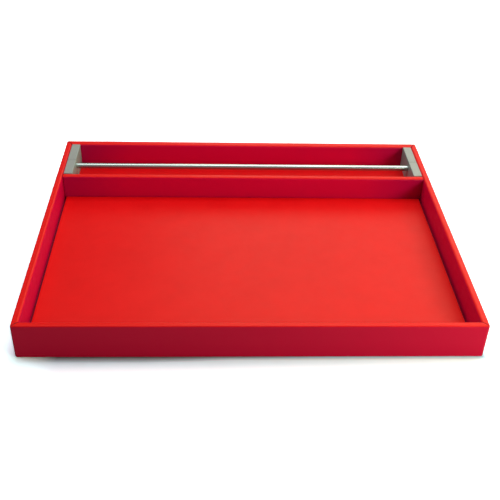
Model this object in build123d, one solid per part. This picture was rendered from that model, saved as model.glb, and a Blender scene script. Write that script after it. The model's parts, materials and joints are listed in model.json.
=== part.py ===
from build123d import *
import os

# Leather-covered presentation tray. A shallow main compartment lies at the front, and
# behind a partition a narrow one holds a round rod between two split metal end blocks.
# Every wall is a board with leather glued over it, and each floor is a covered panel.
#
# Millimetres, +Z up, -Y to the front. The origin is the middle of the footprint, on the
# surface that the tray stands on.

# ---- Tray ----
tray_width = 400.0          # outside, left to right
tray_depth = 320.0          # outside, front to back
tray_height = 34.5          # from the surface below to the rim
rear_room = 65.0            # rod's compartment, front to back

# ---- Boards and leather ----
wall_board = 4.5            # thickness of the front, side and partition boards
back_board = 6.0            # thickness of the back wall's board
wall_skin = 1.0             # thickness of the leather on them
outer_edge = 0.4            # rounding of the boards' upper outside edges
inner_edge = 1.2            # rounding of their upper inside edges, and of the partition's
board_corner = 1.0          # rounding of the upright outside corners
base_board = 5.0            # thickness of the base board
turn_in = 10.0              # leather turned in below the base board, from the outside
fold_radius = 0.9           # outside rounding where the leather turns in
mitre_gap = 0.2             # opening between two skins at a mitred corner
liner_gap = 0.5             # between the liner's edge and the turned-in leather
partition_gap = 0.2         # between the partition's end and a side wall

# ---- Floor panels ----
panel_board = 3.0           # thickness of a panel's board
panel_skin = 1.2            # thickness of the leather on it
panel_side_gap = 2.0        # between a panel and the side walls
panel_end_gap = 0.4         # between a panel and the walls before and behind it

# ---- Rod and its end blocks ----
rod_radius = 3.0
rod_drop = 8.1              # from the rim down to the rod's axis
rod_setback = 34.5          # from the inside of the back wall to the rod's axis
rod_bite = 6.0              # length of rod inside each block
rod_end_play = 0.3          # from the rod's end to the bottom of its socket
rod_chamfer = 0.4
socket_clearance = 0.05     # radial, so that the rod turns
block_thickness = 9.0       # left to right
block_clearance = 0.4       # between a block and the walls around it
block_edge = 0.4            # chamfer on the blocks' edges

# ---- Cap screws that hold the two halves of a block together ----
screws_per_block = 2
screw_radius = 1.25
screw_bite = 9.5            # length of thread in the rear half
counterbore = 9.6           # depth of the head's seat in the front half
head_radius = 2.25
head_height = 2.5
key_radius = 1.15           # hexagonal key socket, over its corners
key_depth = 1.2
head_clearance = 0.25       # radial, in the counterbore
shank_clearance = 0.1       # radial, in the front half
thread_clearance = 0.03     # radial, in the rear half
hole_runout = 1.5           # depth of the threaded hole beyond the screw's tip

# ---- Places that follow from these ----
wall = wall_board + 2 * wall_skin
back_wall = back_board + 2 * wall_skin
inside_width = tray_width - 2 * wall
front_inside = -tray_depth / 2 + wall
back_inside = tray_depth / 2 - back_wall
partition_back = back_inside - rear_room
partition_front = partition_back - wall

base_top = wall_skin + base_board
board_top = tray_height - wall_skin
floor_top = base_top + panel_board + panel_skin

block_front_y = partition_back + block_clearance
block_back_y = back_inside - block_clearance
block_outer_x = inside_width / 2 - block_clearance
block_inner_x = block_outer_x - block_thickness
seam_y = back_inside - rod_setback
rod_z = tray_height - rod_drop
socket_radius = rod_radius + socket_clearance
socket_depth = rod_bite + rod_end_play


def slab(width, depth, bottom, top, y_middle=0.0, corner=0.0):
    """An upright-sided plate between two heights, with rounded corners if asked."""
    outline = RectangleRounded(width, depth, corner) if corner else Rectangle(width, depth)
    return extrude(Pos(0, y_middle, bottom) * outline, top - bottom)


def inside_space(bottom, top, margin=0.0):
    """The space within the walls between two heights, larger by a margin on every side."""
    width = inside_width + 2 * margin
    depth = back_inside - front_inside + 2 * margin
    return slab(width, depth, bottom, top, (front_inside + back_inside) / 2)


def top_face(shape):
    return shape.faces().sort_by(Axis.Z)[-1]


def wall_ring(margin, bottom, top):
    """Four walls in one piece, thinned by a margin on each face, with rounded corners and rim."""
    width = tray_width - 2 * margin
    depth = tray_depth - 2 * margin
    cover = wall_skin - margin
    outside = slab(width, depth, bottom, top, corner=board_corner + cover)
    inside = inside_space(bottom, top, margin)
    ring = outside - inside
    ring = fillet(top_face(ring).outer_wire().edges(), outer_edge + cover)
    return fillet(top_face(ring).inner_wires()[0].edges(), inner_edge + cover)


def drill(start, direction, radius, length):
    """A round bar from a point along a direction."""
    return extrude(Plane(origin=start, z_dir=direction) * Circle(radius), length)


# ---- Base ----
def make_base_liner():
    inset = turn_in + liner_gap
    return slab(tray_width - 2 * inset, tray_depth - 2 * inset, 0, wall_skin)


def make_base_board():
    width = tray_width - 2 * wall_skin
    depth = tray_depth - 2 * wall_skin
    return slab(width, depth, wall_skin, base_top, corner=board_corner)


# ---- Walls ----
def make_wall_boards():
    """Front and back boards run the full width, and the side boards fit between them."""
    ring = wall_ring(wall_skin, base_top, board_top)
    between = back_inside - front_inside + 2 * wall_skin
    side_zone = slab(tray_width, between, base_top, board_top, (front_inside + back_inside) / 2)
    ends = ring - side_zone
    sides = ring & side_zone
    front, back = ends.solids().sort_by(Axis.Y)
    left, right = sides.solids().sort_by(Axis.X)
    return {"front": front, "back": back, "left": left, "right": right}


def mitre_line(end_wall):
    """Plan of a corner's mitre: distances in from the side and from the end, outside first."""
    rounding = board_corner + wall_skin
    return [(-wall, -wall), (rounding, rounding), (wall, end_wall), (turn_in, turn_in)]


def mitre_zones():
    """The four regions that the corner mitres divide the leather into."""
    half_w = tray_width / 2
    half_d = tray_depth / 2
    step = mitre_gap / 2 ** 0.5
    front_line = mitre_line(wall)
    back_line = mitre_line(back_wall)
    front = [(-half_w + u + step, -half_d + v) for u, v in front_line]
    front += [(half_w - u - step, -half_d + v) for u, v in reversed(front_line)]
    back = [(-half_w + u + step, half_d - v) for u, v in back_line]
    back += [(half_w - u - step, half_d - v) for u, v in reversed(back_line)]
    left = [(-half_w + u, -half_d + v + step) for u, v in front_line]
    left += [(-half_w + u, half_d - v - step) for u, v in reversed(back_line)]
    right = [(-x, y) for x, y in left]
    outlines = {"front": front, "back": back, "left": left, "right": right}
    zones = {}
    for name, outline in outlines.items():
        zones[name] = extrude(Polygon(*outline, align=None), tray_height, dir=(0, 0, 1))
    return zones


def make_wall_leather():
    """One skin for each wall, over both its faces and the rim and in below the base."""
    skin = wall_ring(0, 0, tray_height)
    hem = slab(tray_width, tray_depth, 0, wall_skin, corner=board_corner + wall_skin)
    hem -= slab(tray_width - 2 * turn_in, tray_depth - 2 * turn_in, 0, wall_skin)
    skin += hem
    skin = fillet(skin.faces().sort_by(Axis.Z)[0].outer_wire().edges(), fold_radius)
    skin -= wall_ring(wall_skin, base_top, board_top)
    skin -= make_base_board()
    return {name: skin & zone for name, zone in mitre_zones().items()}


# ---- Partition ----
def make_partition():
    """A board between the side walls, with leather over both faces and the top."""
    length = inside_width - 2 * partition_gap
    y_middle = (partition_front + partition_back) / 2
    board = slab(length, wall_board, base_top, board_top, y_middle)
    board = fillet(top_face(board).edges().filter_by(Axis.X), inner_edge)
    leather = slab(length, wall, base_top, tray_height, y_middle)
    leather = fillet(top_face(leather).edges().filter_by(Axis.X), inner_edge + wall_skin)
    return board, leather - board


# ---- Floor panels ----
def make_floor_panel(front, back):
    """A board with leather over its top and edges, loose between the walls."""
    y_middle = (front + back) / 2
    width = inside_width - 2 * panel_side_gap
    depth = back - front - 2 * panel_end_gap
    cover = slab(width, depth, base_top, floor_top, y_middle, corner=panel_skin)
    cover = fillet(top_face(cover).edges(), panel_skin)
    board = slab(width - 2 * panel_skin, depth - 2 * panel_skin, base_top, base_top + panel_board, y_middle)
    return board, cover - board


# ---- Rod and end blocks ----
def screw_heights():
    """Centres of the screws, spread evenly below the rod's socket."""
    pitch = (rod_z - socket_radius - floor_top) / screws_per_block
    return [floor_top + (number + 0.5) * pitch for number in range(screws_per_block)]


screw_x = (block_inner_x + block_outer_x) / 2
head_seat_y = block_front_y + counterbore
screw_length = seam_y + screw_bite - head_seat_y


def make_half_block(front_half):
    """Half of the right-hand block, with half of the rod's socket and the screw holes."""
    front, back = (block_front_y, seam_y) if front_half else (seam_y, block_back_y)
    half = slab(block_thickness, back - front, floor_top, tray_height, (front + back) / 2)
    half = Pos(screw_x, 0, 0) * half
    half = chamfer(half.edges(), block_edge)
    half -= drill((block_inner_x, seam_y, rod_z), (1, 0, 0), socket_radius, socket_depth)
    for height in screw_heights():
        if front_half:
            mouth = (screw_x, block_front_y, height)
            half -= drill(mouth, (0, 1, 0), screw_radius + shank_clearance, back - front)
            half -= drill(mouth, (0, 1, 0), head_radius + head_clearance, counterbore)
        else:
            mouth = (screw_x, seam_y, height)
            depth = screw_bite + hole_runout
            half -= drill(mouth, (0, 1, 0), screw_radius + thread_clearance, depth)
    return half


def make_screw(height):
    """A cap screw in the right-hand block, its head to the front."""
    head = drill((screw_x, head_seat_y, height), (0, -1, 0), head_radius, head_height)
    shank = drill((screw_x, head_seat_y, height), (0, 1, 0), screw_radius, screw_length)
    top = Plane(origin=(screw_x, head_seat_y - head_height, height), z_dir=(0, 1, 0))
    key = extrude(top * RegularPolygon(key_radius, 6), key_depth)
    return head + shank - key


def make_rod():
    reach = block_inner_x + rod_bite
    rod = drill((-reach, seam_y, rod_z), (1, 0, 0), rod_radius, 2 * reach)
    return chamfer(rod.edges().filter_by(GeomType.CIRCLE), rod_chamfer)


# ---- All the pieces ----
parts = {"base_liner": make_base_liner(), "base_board": make_base_board()}

wall_boards = make_wall_boards()
wall_leather = make_wall_leather()
for place in ("front", "back", "left", "right"):
    parts[place + "_wall_board"] = wall_boards[place]
    parts[place + "_wall_leather"] = wall_leather[place]

parts["partition_board"], parts["partition_leather"] = make_partition()
parts["main_floor_board"], parts["main_floor_leather"] = make_floor_panel(front_inside, partition_front)
parts["rear_floor_board"], parts["rear_floor_leather"] = make_floor_panel(partition_back, back_inside)

for half_name, is_front in (("front", True), ("rear", False)):
    half_block = make_half_block(is_front)
    parts["right_block_" + half_name] = half_block
    parts["left_block_" + half_name] = mirror(half_block, Plane.YZ)

right_screws = [make_screw(height) for height in screw_heights()]
left_screws = [mirror(screw, Plane.YZ) for screw in right_screws]
parts["block_screws"] = Compound(children=right_screws + left_screws)
parts["cross_rod"] = make_rod()

os.makedirs("parts", exist_ok=True)
for name, shape in parts.items():
    shape.label = name
    export_step(shape, "parts/" + name + ".step")
    print(name, len(shape.solids()), round(shape.volume, 1))
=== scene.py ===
import bmesh
import bpy
import json
import math
from mathutils import Matrix, Vector, noise


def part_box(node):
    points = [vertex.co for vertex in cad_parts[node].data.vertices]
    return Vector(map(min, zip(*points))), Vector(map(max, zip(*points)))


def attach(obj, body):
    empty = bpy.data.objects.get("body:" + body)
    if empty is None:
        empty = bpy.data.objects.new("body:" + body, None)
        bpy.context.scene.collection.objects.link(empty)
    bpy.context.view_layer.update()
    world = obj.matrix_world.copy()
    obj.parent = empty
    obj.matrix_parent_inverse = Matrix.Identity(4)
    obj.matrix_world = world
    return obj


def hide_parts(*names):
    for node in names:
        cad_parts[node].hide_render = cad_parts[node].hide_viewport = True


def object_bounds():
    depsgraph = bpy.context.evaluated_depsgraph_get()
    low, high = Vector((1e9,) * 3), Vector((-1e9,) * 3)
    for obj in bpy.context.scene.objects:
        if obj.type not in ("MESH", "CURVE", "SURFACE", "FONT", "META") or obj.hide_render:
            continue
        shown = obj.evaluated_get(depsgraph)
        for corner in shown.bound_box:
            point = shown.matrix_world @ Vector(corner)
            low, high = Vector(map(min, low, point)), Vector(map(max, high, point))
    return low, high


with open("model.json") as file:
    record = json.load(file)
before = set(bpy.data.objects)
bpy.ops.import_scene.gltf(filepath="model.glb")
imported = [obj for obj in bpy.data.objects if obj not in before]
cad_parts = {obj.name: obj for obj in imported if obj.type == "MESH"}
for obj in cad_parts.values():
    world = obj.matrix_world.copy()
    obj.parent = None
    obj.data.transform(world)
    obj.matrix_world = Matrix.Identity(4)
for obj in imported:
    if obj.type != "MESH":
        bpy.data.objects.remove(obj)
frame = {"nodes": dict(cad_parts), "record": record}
CAD_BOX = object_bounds()
MM = 0.001

# ---- Sizes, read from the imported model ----
HALF_WIDTH, HALF_DEPTH, RIM = CAD_BOX[1]
BASE_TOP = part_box("base_board")[1].z
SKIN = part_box("base_liner")[1].z
WALL_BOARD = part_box("left_wall_board")[1].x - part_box("left_wall_board")[0].x
WALL = WALL_BOARD + 2 * SKIN
BACK_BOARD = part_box("back_wall_board")[1].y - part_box("back_wall_board")[0].y
BACK_WALL = BACK_BOARD + 2 * SKIN
TURN_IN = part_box("left_wall_leather")[1].x + HALF_WIDTH

# ---- How the leather is worked, in metres ----
OUTER_EDGE = 1.4 * MM        # rounding of a rim's outside edge
INNER_EDGE = 2.2 * MM        # rounding of a rim's inside edge, and of the partition's edges
CORNER_RADIUS = 2.0 * MM     # outside rounding of the tray's upright corners
FOLD_RADIUS = 0.9 * MM       # outside rounding at the foot of a wall
MITRE_GAP = 0.2 * MM         # opening between two skins at a corner
CUT_ROUNDING = 0.5 * MM      # how softly the cut edge of a skin turns down
CUT_STAIN = 0.7 * MM         # how far the dye of a cut edge reaches over the skin
WAVER = 0.05 * MM            # how far glued leather wanders from flat
WAVER_LENGTH = 26 * MM       # from one such swell to the next
PANEL_EDGE = 1.2 * MM        # rounding of a floor panel's upper edge
HOLLOW = 3                   # how many times wider and deeper the swells of a floor panel are
HOLLOW_FADE = 20 * MM        # how far from a panel's edge they begin
EDGE_WEAR = 1.5              # how far down wear reaches from a rim, in outer roundings
PANEL_WEAR, SIDE_WEAR = 1.0, 0.4

# ---- How finely the meshes are divided ----
FACE_SIZE = 5 * MM           # spacing of the points on flat leather
ARC_STEPS = 7                # faces round a quarter turn
ARC_HOLD = 0.3 * MM          # a short face that holds the shading flat next to a rounding
END_RINGS = (0, 0.07, 0.16, 0.27, 0.4, 0.7, 1.2, 2.0, 3.2, 5.0)  # mm from a skin's cut edge
ROD_CHAMFER = 0.4 * MM
ROD_SIDES = 96
SHARP_ANGLE = math.radians(30)


# ---------------------------------------------------------------------------
# Meshes
# ---------------------------------------------------------------------------
def finish_mesh(mesh, name):
    """Closes a mesh up and puts it in the scene, smooth-shaded."""
    bmesh.ops.remove_doubles(mesh, verts=mesh.verts, dist=0.002 * MM)
    bmesh.ops.recalc_face_normals(mesh, faces=mesh.faces)
    data = bpy.data.meshes.new(name)
    mesh.to_mesh(data)
    mesh.free()
    data.shade_smooth()
    piece = bpy.data.objects.new(name, data)
    bpy.context.scene.collection.objects.link(piece)
    return piece


def between(start, end, share):
    """The point at a share of the way from one point to another."""
    return tuple(a + (b - a) * share for a, b in zip(start, end))


def mark_points(mark):
    """The points of a section's mark: a point, or (centre, radius, from, to) of an arc."""
    if len(mark) == 2:
        return [mark]
    centre, radius, start, end = mark
    points = []
    for step in range(ARC_STEPS + 1):
        angle = math.radians(start + (end - start) * step / ARC_STEPS)
        points.append((centre[0] + radius * math.cos(angle), centre[1] + radius * math.sin(angle)))
    return points


def section(outer_marks, inner_marks):
    """The two lines of a skin's section, with as many points each, from their marks in order."""
    outer, inner = [], []
    for outer_mark, inner_mark in zip(outer_marks, inner_marks):
        new_outer = mark_points(outer_mark)
        new_inner = mark_points(inner_mark)
        if len(new_inner) < len(new_outer):
            new_inner = new_inner * len(new_outer)
        if outer:
            length = math.dist(outer[-1], new_outer[0])
            count = max(2, round(length / FACE_SIZE))
            hold = ARC_HOLD / length
            shares = [hold] + [number / count for number in range(1, count)] + [1 - hold]
            last_outer, last_inner = outer[-1], inner[-1]
            outer += [between(last_outer, new_outer[0], share) for share in shares]
            inner += [between(last_inner, new_inner[0], share) for share in shares]
        outer += new_outer
        inner += new_inner
    return outer, inner


def waver(point):
    """How far glued leather has sunk below flat, the same on both sides of a seam."""
    return WAVER * (1 + noise.noise(point / WAVER_LENGTH)) / 2


def strip_stations(half_length):
    """Where a swept skin has its rings: (share of the middle stretch, distance from an end)."""
    count = max(4, round(half_length / FACE_SIZE))
    first = [(-1, d * MM) for d in END_RINGS]
    middle = [(number / count - 1, END_RINGS[-1] * MM) for number in range(1, 2 * count)]
    last = [(1, d * MM) for d in reversed(END_RINGS)]
    return first + middle + last


def mitre_inset(depth, own_wall, other_wall):
    """How far a mitre is from the corner along a wall, at a depth into that wall."""
    marks = [(CORNER_RADIUS, CORNER_RADIUS), (own_wall, other_wall), (TURN_IN, TURN_IN)]
    first, last = marks[:2] if depth < own_wall else marks[1:]
    share = (depth - first[0]) / (last[0] - first[0])
    return between(first, last, share)[1]


def swept_skin(name, lines, place, half_length, mitres=None):
    """Leather of one section along a wall, with soft cut edges at both ends.

    lines are the section's outer and inner line of (depth, height), depth being measured into
    the wall from its outer face. place turns (along, depth, height) into a point. mitres are the
    thickness of this wall and of those that it meets at its start and end. A mitred skin bends
    round the upright corners and ends on a line from their outside to their inside."""
    outer, inner = lines
    mesh = bmesh.new()
    edge_weight = mesh.verts.layers.float.new("edge")
    cut_weight = mesh.verts.layers.float.new("cut")

    def run(depth, end):
        """Length of the skin from the middle to its start or end, measured along it."""
        if not mitres:
            return half_length
        reach = half_length - MITRE_GAP / math.sqrt(2)
        if depth < CORNER_RADIUS:
            return reach - CORNER_RADIUS + (CORNER_RADIUS - depth) * math.pi / 4
        return reach - mitre_inset(depth, mitres[0], mitres[1 if end < 0 else 2])

    def bend(along, depth):
        """Takes a point round the upright corner."""
        start = half_length - CORNER_RADIUS
        if not mitres or depth >= CORNER_RADIUS or abs(along) <= start:
            return along, depth
        turn = (abs(along) - start) / (CORNER_RADIUS - depth)
        reach = start + (CORNER_RADIUS - depth) * math.sin(turn)
        return math.copysign(reach, along), CORNER_RADIUS - (CORNER_RADIUS - depth) * math.cos(turn)

    def inward(number):
        """The section's direction into the skin at a point of its outer line."""
        before = outer[max(number - 1, 0)]
        after = outer[min(number + 1, len(outer) - 1)]
        step = Vector((after[0] - before[0], after[1] - before[1])).normalized()
        return Vector((step.y, -step.x))

    rings = []
    for share, from_end in strip_stations(half_length):
        sink = 0.0
        if abs(share) == 1 and from_end < CUT_ROUNDING:
            sink = CUT_ROUNDING - math.sqrt(CUT_ROUNDING ** 2 - (CUT_ROUNDING - from_end) ** 2)
        ring = []
        for line in (outer, inner):
            for number, (depth, height) in enumerate(line):
                along = share * (run(depth, share) - from_end)
                if line is outer:
                    sunk = sink + waver(Vector(place(along, depth, height)))
                    shift = inward(number) * sunk
                    depth, height = depth + shift.x, height + shift.y
                vert = mesh.verts.new(place(*bend(along, depth), max(height, 0)))
                vert[edge_weight] = max(0.0, 1 - (RIM - height) / (EDGE_WEAR * OUTER_EDGE))
                vert[cut_weight] = max(0.0, 1 - from_end / CUT_STAIN) if abs(share) == 1 else 0.0
                ring.append(vert)
        rings.append(ring)

    size = len(outer)
    for one, two in zip(rings, rings[1:]):
        for first in (0, size):
            for number in range(first, first + size - 1):
                mesh.faces.new((one[number], one[number + 1], two[number + 1], two[number]))
        for number in (0, size - 1):
            mesh.faces.new((one[number], one[number + size], two[number + size], two[number]))
    for ring in (rings[0], rings[-1]):
        upper, lower = ring[:size], ring[size:]
        for number in range(size - 1):
            mesh.faces.new((upper[number], upper[number + 1], lower[number + 1], lower[number]))
    return finish_mesh(mesh, name)


def rim_arcs(wall, first_edge, second_edge, under=0.0):
    """The two upper edges of a wall, as arcs of a section line that runs under the surface."""
    return [
        ((first_edge, RIM - first_edge), first_edge - under, 180, 90),
        ((wall - second_edge, RIM - second_edge), second_edge - under, 90, 0),
    ]


def wall_section(wall):
    """From the turned-in hem, up the outside, over the rim and down the inside of a wall."""
    fold = ((FOLD_RADIUS, FOLD_RADIUS), FOLD_RADIUS, 270, 180)
    edges = (wall, OUTER_EDGE, INNER_EDGE)
    outer = [(TURN_IN, 0), fold] + rim_arcs(*edges) + [(wall, BASE_TOP)]
    inner = [(TURN_IN, SKIN), (SKIN, SKIN)] + rim_arcs(*edges, SKIN) + [(wall - SKIN, BASE_TOP)]
    return section(outer, inner)


def partition_section():
    """Up the front of the partition, over its top and down its back."""
    edges = (WALL, INNER_EDGE, INNER_EDGE)
    outer = [(0, BASE_TOP)] + rim_arcs(*edges) + [(WALL, BASE_TOP)]
    inner = [(SKIN, BASE_TOP)] + rim_arcs(*edges, SKIN) + [(WALL - SKIN, BASE_TOP)]
    return section(outer, inner)


def make_wall_leather():
    """The four mitred skins."""
    thin, thick, side = (WALL, WALL, WALL), (BACK_WALL, WALL, WALL), (WALL, WALL, BACK_WALL)
    walls = {
        "front": (HALF_WIDTH, thin, lambda along, depth, z: (along, depth - HALF_DEPTH, z)),
        "back": (HALF_WIDTH, thick, lambda along, depth, z: (along, HALF_DEPTH - depth, z)),
        "left": (HALF_DEPTH, side, lambda along, depth, z: (depth - HALF_WIDTH, along, z)),
        "right": (HALF_DEPTH, side, lambda along, depth, z: (HALF_WIDTH - depth, along, z)),
    }
    skins = {}
    for wall, (half_length, mitres, place) in walls.items():
        lines = wall_section(mitres[0])
        skin = swept_skin(wall + "_wall_skin", lines, place, half_length, mitres)
        skins[wall + "_wall_leather"] = skin
    return skins


def make_partition_leather():
    """The skin over the partition, which ends against the side walls."""
    low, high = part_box("partition_leather")

    def place(along, depth, height):
        return along, low.y + depth, height

    return swept_skin("partition_skin", partition_section(), place, high.x)


def rounded_loop(low, high, inset, corner):
    """A rounded rectangle's points, inset from a box, and how many there are along its sides.

    The centres of its corners are set in by corner from the box."""
    left, front = low.x + corner, low.y + corner
    right, back = high.x - corner, high.y - corner
    reach = corner - inset
    columns = max(4, round((right - left) / FACE_SIZE))
    rows = max(4, round((back - front) / FACE_SIZE))
    sides = [
        ((left, front), (right, front), columns, -90),
        ((right, front), (right, back), rows, 0),
        ((right, back), (left, back), columns, 90),
        ((left, back), (left, front), rows, 180),
    ]
    points = []
    for start, end, count, facing in sides:
        out = Vector((math.cos(math.radians(facing)), math.sin(math.radians(facing)))) * reach
        for number in range(count + 1):
            x, y = between(start, end, number / count)
            points.append((x + out.x, y + out.y))
        for step in range(1, ARC_STEPS):
            angle = math.radians(facing + 90 * step / ARC_STEPS)
            points.append((end[0] + reach * math.cos(angle), end[1] + reach * math.sin(angle)))
    return points, columns, rows


def make_floor_leather(node, name):
    """The cover of a floor panel: a nearly flat top, rounded edges and sides down to the base."""
    low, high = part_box(node)
    radius = PANEL_EDGE
    skin = high.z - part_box(node.replace("leather", "board"))[1].z
    mesh = bmesh.new()
    edge_weight = mesh.verts.layers.float.new("edge")

    def vertex(x, y, z, weight=0.0):
        vert = mesh.verts.new((x, y, z))
        vert[edge_weight] = weight
        return vert

    def sunk(x, y):
        """Slow hollows of the panel's top, fading out at its edge."""
        margin = min(x - low.x, high.x - x, y - low.y, high.y - y)
        fade = min(1.0, margin / HOLLOW_FADE)
        return fade * HOLLOW * waver(Vector((x, y, 0.5)) / HOLLOW)

    # The top, up to where its edge begins to round
    _, columns, rows = rounded_loop(low, high, radius, radius)
    left, front = low.x + radius, low.y + radius
    width, depth = high.x - low.x - 2 * radius, high.y - low.y - 2 * radius
    grid = []
    for row in range(rows + 1):
        y = front + depth * row / rows
        line = []
        for column in range(columns + 1):
            x = left + width * column / columns
            line.append(vertex(x, y, high.z - sunk(x, y)))
        grid.append(line)
    for one, two in zip(grid, grid[1:]):
        for number in range(columns):
            mesh.faces.new((one[number], one[number + 1], two[number + 1], two[number]))

    # Round the edge, down the side, and back up inside the cover
    rings = []
    for step in range(ARC_STEPS + 1):
        angle = math.pi / 2 * step / ARC_STEPS
        rings.append((radius * (1 - math.sin(angle)), high.z - radius * (1 - math.cos(angle))))
    rings += [(0, low.z + ARC_HOLD), (0, low.z), (skin, low.z), (skin, high.z - skin)]
    loops = []
    for inset, height in rings:
        outline = rounded_loop(low, high, inset, max(radius, inset))[0]
        wear = PANEL_WEAR if height > high.z - 2 * radius else SIDE_WEAR
        loops.append([vertex(x, y, height, wear) for x, y in outline])
    for one, two in zip(loops, loops[1:]):
        for number in range(len(one)):
            after = (number + 1) % len(one)
            mesh.faces.new((one[number], one[after], two[after], two[number]))
    mesh.faces.new(loops[-1])
    return finish_mesh(mesh, name)


def make_rod():
    """The round bar, chamfered at its ends."""
    low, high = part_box("cross_rod")
    middle = (low + high) / 2
    radius = (high.z - low.z) / 2
    half = high.x - middle.x
    count = max(4, round(half / FACE_SIZE))
    rings = [(-half, radius - ROD_CHAMFER), (ROD_CHAMFER - half, radius)]
    rings += [(half * number / count, radius) for number in range(1 - count, count)]
    rings += [(half - ROD_CHAMFER, radius), (half, radius - ROD_CHAMFER)]
    mesh = bmesh.new()
    loops = []
    for along, reach in rings:
        loop = []
        for step in range(ROD_SIDES):
            angle = 2 * math.pi * step / ROD_SIDES
            spot = Vector((along, reach * math.cos(angle), reach * math.sin(angle)))
            loop.append(mesh.verts.new(middle + spot))
        loops.append(loop)
    for one, two in zip(loops, loops[1:]):
        for number in range(ROD_SIDES):
            after = (number + 1) % ROD_SIDES
            mesh.faces.new((one[number], one[after], two[after], two[number]))
    for loop in (loops[0], loops[-1]):
        mesh.faces.new(loop)
    rod = finish_mesh(mesh, "rod_bar")
    rod.data.set_sharp_from_angle(angle=SHARP_ANGLE)
    return rod


# ---------------------------------------------------------------------------
# Materials
# ---------------------------------------------------------------------------
class Shader:
    """A material's node tree, with short calls to add and join nodes."""

    def __init__(self, name, **constants):
        self.material = bpy.data.materials.new(name)
        self.material.use_nodes = True
        self.tree = self.material.node_tree
        self.surface = self.tree.nodes["Principled BSDF"]
        for socket, value in constants.items():
            self.surface.inputs[socket.replace("_", " ")].default_value = value
        self.place = self.tree.nodes.new("ShaderNodeTexCoord").outputs["Object"]

    def add(self, kind, inputs=None, **settings):
        made = self.tree.nodes.new(kind)
        for key, value in settings.items():
            setattr(made, key, value)
        for socket, value in (inputs or {}).items():
            self.set(made.inputs[socket], value)
        return made

    def set(self, socket, value):
        if isinstance(value, bpy.types.NodeSocket):
            self.tree.links.new(value, socket)
        else:
            socket.default_value = value

    def noise(self, scale, detail=2.0, roughness=0.5, vector=None):
        made = self.add("ShaderNodeTexNoise", {"Vector": vector or self.place, "Scale": scale})
        self.set(made.inputs["Detail"], detail)
        self.set(made.inputs["Roughness"], roughness)
        return made.outputs["Fac"]

    def cells(self, scale, feature="F1"):
        inputs = {"Vector": self.place, "Scale": scale}
        return self.add("ShaderNodeTexVoronoi", inputs, feature=feature).outputs["Distance"]

    def remap(self, value, low, high, new_low, new_high):
        made = self.add("ShaderNodeMapRange", {"Value": value, "From Min": low, "From Max": high})
        self.set(made.inputs["To Min"], new_low)
        self.set(made.inputs["To Max"], new_high)
        return made.outputs["Result"]

    def maths(self, operation, one, two):
        return self.add("ShaderNodeMath", {0: one, 1: two}, operation=operation).outputs[0]

    def size(self, value):
        """A number without its sign."""
        return self.maths("ABSOLUTE", value, 0)

    def parts(self, vector):
        """The X, Y and Z of a vector."""
        return self.add("ShaderNodeSeparateXYZ", {"Vector": vector}).outputs

    def facing(self):
        """The X, Y and Z of the direction in which the surface faces, in the object's frame."""
        return self.parts(self.add("ShaderNodeTexCoord").outputs["Normal"])

    def beyond(self, half_width, half_depth):
        """How far a point lies outside an upright box about the origin, negative inside it."""
        spot = self.parts(self.place)
        beside = self.maths("SUBTRACT", self.size(spot["X"]), half_width)
        before = self.maths("SUBTRACT", self.size(spot["Y"]), half_depth)
        return self.maths("MAXIMUM", beside, before)

    def blend(self, share, one, two):
        made = self.add("ShaderNodeMix", data_type="RGBA")
        sockets = {s.identifier: s for s in made.inputs}
        self.set(sockets["Factor_Float"], share)
        self.set(sockets["A_Color"], one)
        self.set(sockets["B_Color"], two)
        return next(s for s in made.outputs if s.identifier == "Result_Color")

    def bump(self, height, distance, strength=1.0):
        inputs = {"Height": height, "Distance": distance, "Strength": strength}
        normal = self.add("ShaderNodeBump", inputs).outputs["Normal"]
        self.set(self.surface.inputs["Normal"], normal)


# Linear colours
RED = (0.77, 0.003, 0.005, 1)           # faces that look up: the lit copy of the leather, lighter and more orange as painted light
RED_DEEP = (0.72, 0.002, 0.004, 1)
RED_WORN = (0.79, 0.006, 0.005, 1)
SHADED_REAR_RED = (0.66, 0.001, 0.004, 1)      # painted shade: the rear floor, darker for the less light it sees
SHADED_REAR_DEEP = (0.60, 0.001, 0.004, 1)
CRIMSON = (0.59, 0.001, 0.042, 1)       # painted shade: faces that look sideways, a darker crimson copy of the leather
CRIMSON_DEEP = (0.63, 0.002, 0.060, 1)  # the painted shade inside the compartments, deeper
CRIMSON_REAR = (0.76, 0.002, 0.064, 1)  # the painted shade of sideways faces in the rear compartment
CORNER_SHADE = (0.34, 0.002, 0.090, 1)    # painted shade towards the ends of both compartments
CUT_DYE = (0.16, 0.001, 0.010, 1)       # the dyed edge of a skin at a mitre
BOARD_LIGHT, BOARD_DARK = (0.42, 0.28, 0.16, 1), (0.30, 0.19, 0.10, 1)
STAIN_LIGHT, STAIN_DARK = (0.28, 0.002, 0.045, 1), (0.20, 0.002, 0.030, 1)
METAL_TOP = (0.34, 0.365, 0.32, 1)      # the blocks' faces that look up or along the seam
METAL_TOP_DARK = (0.31, 0.335, 0.295, 1)
PAINTED_METAL_SIDE = (0.32, 0.455, 0.385, 1)    # the blocks' faces at either end of the rod, painted greener than the tops against the red floor's reflection in them
METAL_SIDE_DARK = (0.29, 0.42, 0.355, 1)
METAL_SEAM = (0.06, 0.06, 0.06, 1)

END_NEAR, END_FAR = 8 * MM, 75 * MM     # where the painted shade at a compartment's end is darkest, and where it stops
END_SHARE = 0.65                        # how strong that painted shade is
SEAM_CORE, SEAM_FADE = 0.1 * MM, 0.35 * MM


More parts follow.
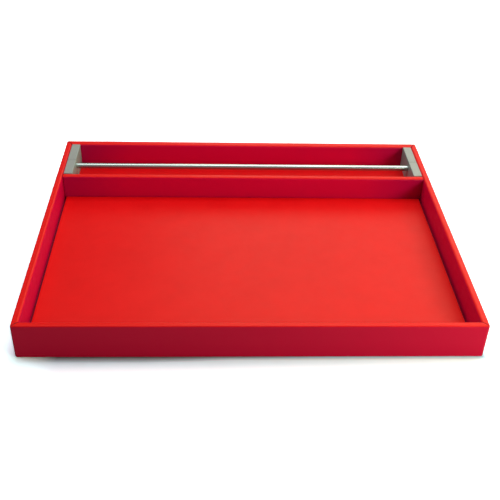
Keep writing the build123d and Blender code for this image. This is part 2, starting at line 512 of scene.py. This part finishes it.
def leather(name, lit_tone, deep):
    """Smooth red leather: a fine closed grain, faint mottling and slightly polished folds.

    Faces that look sideways are painted in a crimson shade, a shaded copy of the leather's colour.
    Inside a compartment the painted shade is deeper, and on those along its length it darkens
    towards the compartment's ends."""
    shader = Shader(name, Specular_IOR_Level=0.19, Specular_Tint=(1.0, 0.93, 0.6, 1))
    edge = shader.add("ShaderNodeAttribute", attribute_name="edge").outputs["Fac"]
    cut = shader.add("ShaderNodeAttribute", attribute_name="cut").outputs["Fac"]
    facing = shader.facing()
    spot = shader.parts(shader.place)

    # Faces that look up, in the lit copy of the leather's colour
    mottle = shader.noise(38, 4, 0.6)
    speckle = shader.noise(900, 2, 0.6)
    tone = shader.blend(shader.remap(mottle, 0.35, 0.7, 0, 1), lit_tone, deep)
    tone = shader.blend(shader.remap(speckle, 0.5, 0.75, 0, 0.35), tone, deep)
    tone = shader.blend(shader.maths("MULTIPLY", edge, 0.7), tone, RED_WORN)

    # Faces that look sideways, in painted shade: deeper inside the compartments and darker still
    # towards their ends
    from_middle = shader.size(spot["X"])
    # Painted shade, growing towards each end of a compartment
    end_shade = shader.remap(from_middle, HALF_WIDTH - END_FAR, HALF_WIDTH - END_NEAR, 0, END_SHARE)
    end_shade = shader.maths("MULTIPLY", end_shade, shader.size(facing["Y"]))
    partition_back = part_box("partition_leather")[1].y
    rear = shader.remap(spot["Y"], partition_back, partition_back + 1 * MM, 0, 1)
    lining = shader.blend(end_shade, shader.blend(rear, CRIMSON_DEEP, CRIMSON_REAR), CORNER_SHADE)
    # Outer faces get the plain painted shade, faces inside the compartments the deeper one
    outward = shader.beyond(HALF_WIDTH - WALL / 2, HALF_DEPTH - WALL / 2)
    upright = shader.blend(shader.remap(outward, 0, -0.5 * MM, 0, 1), CRIMSON, lining)
    tone = shader.blend(shader.remap(facing["Z"], 0.2, 0.8, 0, 1), upright, tone)
    tone = shader.blend(shader.maths("MULTIPLY", cut, 0.8), tone, CUT_DYE)
    shader.set(shader.surface.inputs["Base Color"], tone)
    gloss = shader.remap(shader.noise(120, 3), 0.3, 0.7, 0.36, 0.44)
    gloss = shader.maths("SUBTRACT", gloss, shader.maths("MULTIPLY", edge, 0.06))
    shader.set(shader.surface.inputs["Roughness"], gloss)
    grain = shader.remap(shader.cells(1300, "SMOOTH_F1"), 0.0, 0.7, 1, 0)
    grain = shader.maths("ADD", grain, shader.maths("MULTIPLY", shader.noise(3200, 2), 0.6))
    shader.bump(grain, 0.00004, 0.5)
    return shader.material


def blasted_aluminium():
    """Bead-blasted metal, with the shadow line where the two halves of a block meet."""
    shader = Shader("blasted_aluminium", Metallic=0.3)
    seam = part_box("right_block_front")[1].y
    from_seam = shader.size(shader.maths("SUBTRACT", shader.parts(shader.place)["Y"], seam))
    # The ends get a painted, greener copy of the metal's colour, against the red floor's reflection
    # in them
    sideways = shader.size(shader.facing()["X"])
    light = shader.blend(sideways, METAL_TOP, PAINTED_METAL_SIDE)
    dark = shader.blend(sideways, METAL_TOP_DARK, METAL_SIDE_DARK)
    cloud = shader.blend(shader.noise(220, 3), dark, light)
    tone = shader.blend(shader.remap(from_seam, SEAM_CORE, SEAM_FADE, 0, 1), METAL_SEAM, cloud)
    shader.set(shader.surface.inputs["Base Color"], tone)
    satin = shader.remap(shader.noise(700, 3), 0.3, 0.7, 0.45, 0.55)
    shader.set(shader.surface.inputs["Roughness"], satin)
    shader.bump(shader.noise(5000, 2), 0.00002, 0.5)
    return shader.material


def polished_steel():
    """Bright metal with fine polishing lines along the rod."""
    shader = Shader("polished_steel", Metallic=0.92, Base_Color=(0.45, 0.53, 0.48, 1))
    drawn_out = {"Vector": shader.place, "Scale": (60, 2500, 2500)}
    lines = shader.noise(1, 2, vector=shader.add("ShaderNodeMapping", drawn_out).outputs[0])
    shader.set(shader.surface.inputs["Roughness"], shader.remap(lines, 0.3, 0.7, 0.19, 0.21))
    return shader.material


def screw_steel():
    """Plain steel, a little uneven in its gloss."""
    shader = Shader("screw_steel", Metallic=1.0, Base_Color=(0.50, 0.50, 0.51, 1))
    gloss = shader.remap(shader.noise(900, 2), 0.3, 0.7, 0.28, 0.4)
    shader.set(shader.surface.inputs["Roughness"], gloss)
    return shader.material


def fibreboard(name, light, dark):
    """Pressed fibres of two tones, matt and slightly rough."""
    shader = Shader(name, Roughness=0.85)
    tone = shader.remap(shader.noise(1500, 3, 0.7), 0.3, 0.7, 0, 1)
    mixed = shader.blend(tone, light, dark)
    shader.set(shader.surface.inputs["Base Color"], mixed)
    shader.bump(shader.noise(2500, 2), 0.00005, 0.4)
    return shader.material


def suede():
    """Dark napped lining."""
    shader = Shader("suede", Roughness=0.95, Sheen_Weight=0.35, Sheen_Roughness=0.5)
    tone = shader.remap(shader.noise(60, 4, 0.6), 0.35, 0.65, 0, 1)
    mixed = shader.blend(tone, (0.055, 0.048, 0.047, 1), (0.085, 0.074, 0.072, 1))
    shader.set(shader.surface.inputs["Base Color"], mixed)
    shader.bump(shader.noise(3500, 3, 0.7), 0.00012, 0.6)
    return shader.material


# ---------------------------------------------------------------------------
# The object
# ---------------------------------------------------------------------------
def dress_object():
    """Puts the skins and the rod over their CAD nodes, and finishes on the other nodes."""
    skins = make_wall_leather()
    skins["partition_leather"] = make_partition_leather()
    skins["main_floor_leather"] = make_floor_leather("main_floor_leather", "main_floor_skin")
    skins["rear_floor_leather"] = make_floor_leather("rear_floor_leather", "rear_floor_skin")
    red = leather("red_leather", RED, RED_DEEP)
    # The rear floor gets a darker copy of the leather, painted shade for the less light it gets
    rear_shaded = leather("rear_red_leather", SHADED_REAR_RED, SHADED_REAR_DEEP)
    for node, skin in skins.items():
        skin.data.materials.append(rear_shaded if node == "rear_floor_leather" else red)
        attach(skin, "tray")
        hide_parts(node)

    rod = make_rod()
    rod.data.materials.append(polished_steel())
    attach(rod, "rod")
    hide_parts("cross_rod")

    finishes = {
        "base_lining": suede(),
        "board": fibreboard("fibreboard", BOARD_LIGHT, BOARD_DARK),
        "stained_board": fibreboard("stained_board", STAIN_LIGHT, STAIN_DARK),
        "block_aluminium": blasted_aluminium(),
        "screw_steel": screw_steel(),
    }
    slots = {part["node"]: part["material_slot"] for part in frame["record"]["subparts"]}
    for name, node in frame["nodes"].items():
        if slots[name] in finishes:
            node.data.materials.clear()
            node.data.materials.append(finishes[slots[name]])


# ---------------------------------------------------------------------------
# Setting
# ---------------------------------------------------------------------------
AMBIENT = 0.02               # the surround's strength on matt surfaces
MIRRORED = 0.3               # its strength in reflections

FLOOR_HALF = 4               # half the floor's side, in metres
FLOOR_DROP = 0.02 * MM       # how far it lies below the object
FLOOR_PLAIN = (0.4, 0.4, 0.4, 1)       # the floor's colour in the light that it throws back
# Its colour as the camera sees it. Some of these are over 1, because the lamps are dim there.
PAINTED_SHADOW_LEFT = (0.19, 0.22, 0.235, 1)     # painted shadow at the object's foot, deep
PAINTED_SHADOW_RIGHT = (0.45, 0.72, 0.86, 1)     # the painted shadow on the side that the lamps stand on, lighter
NEAR_PAPER = (1.10, 1.52, 1.68, 1)     # a few millimetres out, where the painted shadow ends, tinted to paint out the red bounce light
FAR_PAPER = (1.5, 1.5, 1.5, 1)
LEFT_PAPER = (1.8, 2.4, 2.3, 1)        # left of the object, painted lighter to take out the shadow there


def make_floor():
    """A pale floor that shows white to the camera and keeps the object's shadow.

    Its colour changes only with the distance from the object and from side to side. Near the object
    the camera sees a painted contact shadow, darker at the left, then a tint that paints out the
    red bounce light; left of the object it is painted lighter to take out the shadow there. Far
    from the object it glows for the camera alone, where the lamps no longer reach it."""
    mesh = bmesh.new()
    bmesh.ops.create_grid(mesh, x_segments=1, y_segments=1, size=FLOOR_HALF)
    bmesh.ops.translate(mesh, verts=mesh.verts, vec=(0, 0, -FLOOR_DROP))
    data = bpy.data.meshes.new("floor")
    mesh.to_mesh(data)
    mesh.free()
    floor = bpy.data.objects.new("floor", data)
    bpy.context.scene.collection.objects.link(floor)
    shader = Shader("pale_floor", Roughness=0.9, Specular_IOR_Level=0.1)
    camera_ray = shader.add("ShaderNodeLightPath").outputs["Is Camera Ray"]
    across = shader.parts(shader.place)["X"]
    away = shader.beyond(HALF_WIDTH, HALF_DEPTH)
    # Painted contact shadow at the object's foot, darker at the left and reaching further there
    foot = shader.blend(shader.remap(across, -70 * MM, 60 * MM, 0, 1), PAINTED_SHADOW_LEFT, PAINTED_SHADOW_RIGHT)
    painted_shadow_reach = shader.remap(across, -90 * MM, -20 * MM, 8 * MM, 4 * MM)
    paper = shader.blend(shader.maths("DIVIDE", away, painted_shadow_reach), foot, NEAR_PAPER)
    paper = shader.blend(shader.remap(away, 6 * MM, 20 * MM, 0, 1), paper, FAR_PAPER)
    # Painted lighter left of the object, to take out the shadow there
    leftward = shader.remap(across, 35 * MM - HALF_WIDTH, -HALF_WIDTH - 10 * MM, 0, 1)
    paper = shader.blend(leftward, paper, LEFT_PAPER)
    tone = shader.blend(camera_ray, FLOOR_PLAIN, paper)
    shader.set(shader.surface.inputs["Base Color"], tone)
    shader.set(shader.surface.inputs["Emission Color"], (1, 1, 1, 1))
    distant = shader.remap(away, 60 * MM, 400 * MM, 0, 1)
    glow = shader.maths("MULTIPLY", distant, camera_ray)
    shader.set(shader.surface.inputs["Emission Strength"], glow)
    data.materials.append(shader.material)


def make_world():
    """An even white surround: bright to the camera, at a plain level on the object."""
    world = bpy.data.worlds.new("surround")
    world.use_nodes = True
    bpy.context.scene.world = world
    tree = world.node_tree
    background = tree.nodes["Background"]
    background.inputs["Color"].default_value = (1, 1, 1, 1)
    ray = tree.nodes.new("ShaderNodeLightPath").outputs
    strength = tree.nodes.new("ShaderNodeMapRange")
    strength.inputs["To Min"].default_value = AMBIENT
    strength.inputs["To Max"].default_value = MIRRORED
    tree.links.new(ray["Is Glossy Ray"], strength.inputs["Value"])
    level = tree.nodes.new("ShaderNodeMapRange")
    level.inputs["To Max"].default_value = 1.0
    tree.links.new(ray["Is Camera Ray"], level.inputs["Value"])
    tree.links.new(strength.outputs["Result"], level.inputs["To Min"])
    tree.links.new(level.outputs["Result"], background.inputs["Strength"])


def softbox(name, place, target, width, height, watts, colour):
    """A rectangular lamp of a colour and power, turned to face a point."""
    data = bpy.data.lights.new(name, "AREA")
    data.shape = "RECTANGLE"
    data.size, data.size_y = width, height
    data.energy = watts
    data.color = colour
    lamp = bpy.data.objects.new(name, data)
    bpy.context.scene.collection.objects.link(lamp)
    lamp.location = place
    lamp.rotation_euler = (Vector(target) - Vector(place)).to_track_quat("-Z", "Y").to_euler()


PLAIN, WHITE, WARM = (1, 1, 1), (1, 1, 1.05), (1, 0.95, 0.78)
AMBER, ROSY, COOL = (1, 0.92, 0.6), (1, 0.92, 0.78), (1, 0.95, 1.25)
# Name, place, point it faces, width, height, watts, colour
LAMPS = (
    ("above", (0.12, 0.3, 1.15), (0.12, 0, 0), 1.3, 0.7, 6.4, WHITE),
    ("above_front", (0.12, -0.15, 1.15), (0.12, 0, 0), 1.3, 0.4, 1.2, WHITE),
    ("above_right", (0.35, 0.25, 1.15), (0, 0, 0), 0.8, 0.8, 3.2, WHITE),
    ("behind", (0.15, 0.9, 0.7), (0.05, 0, 0), 0.6, 0.6, 2.2, WARM),
    ("behind_right", (0.6, 0.6, 0.5), (0.15, 0, 0), 0.4, 0.4, 1.4, WARM),
    ("fill", (0.42, -0.33, 0.22), (0.1, 0, 0), 0.2, 0.2, 0.58, AMBER),
    ("low_fill", (0.42, -0.5, 0.05), (0.1, -0.1, 0), 0.15, 0.06, 0.47, AMBER),
    ("front_right", (0.7, -0.7, 0.5), (0.1, 0, 0), 0.3, 0.3, 3.6, ROSY),
    ("left", (-0.9, 0.1, 0.6), (0, 0, 0), 0.5, 0.5, 1.6, COOL),
    ("low_left", (-0.6, -0.1, 0.03), (0, -0.1, 0.02), 0.5, 0.05, 0.5, PLAIN),
    ("low_right", (0.6, -0.1, 0.03), (0, -0.1, 0.02), 0.5, 0.05, 0.5, PLAIN),
)


def make_lights():
    """Wide softboxes above, two behind for the sheen, and fills at the front and the sides."""
    for lamp in LAMPS:
        softbox(*lamp)


CAMERA_PLACE = (-0.03253, -0.66652, 0.47785)
CAMERA_PITCH, CAMERA_YAW, CAMERA_ROLL = 35.752, -3.128, 2.038  # degrees
CAMERA_LENS, CAMERA_SENSOR = 58.283, 36                        # millimetres


def make_camera():
    """Above and in front of the tray, tipped down at it and turned a few degrees."""
    pitch, yaw, roll = (math.radians(a) for a in (CAMERA_PITCH, CAMERA_YAW, CAMERA_ROLL))
    level_right = Vector((math.cos(yaw), math.sin(yaw), 0))
    level_forward = Vector((-math.sin(yaw), math.cos(yaw), 0))
    forward = math.cos(pitch) * level_forward - math.sin(pitch) * Vector((0, 0, 1))
    level_up = math.sin(pitch) * level_forward + math.cos(pitch) * Vector((0, 0, 1))
    right = math.cos(roll) * level_right + math.sin(roll) * level_up
    up = -math.sin(roll) * level_right + math.cos(roll) * level_up
    data = bpy.data.cameras.new("camera")
    data.lens = CAMERA_LENS
    data.sensor_width = CAMERA_SENSOR
    data.clip_start = 20 * MM
    camera = bpy.data.objects.new("camera", data)
    bpy.context.scene.collection.objects.link(camera)
    turn = Matrix((right, up, -forward)).transposed().to_4x4()
    camera.matrix_world = Matrix.Translation(CAMERA_PLACE) @ turn
    bpy.context.scene.camera = camera


make_camera()
dress_object()
make_floor()
make_world()
make_lights()
bpy.context.scene.view_settings.view_transform = "Standard"
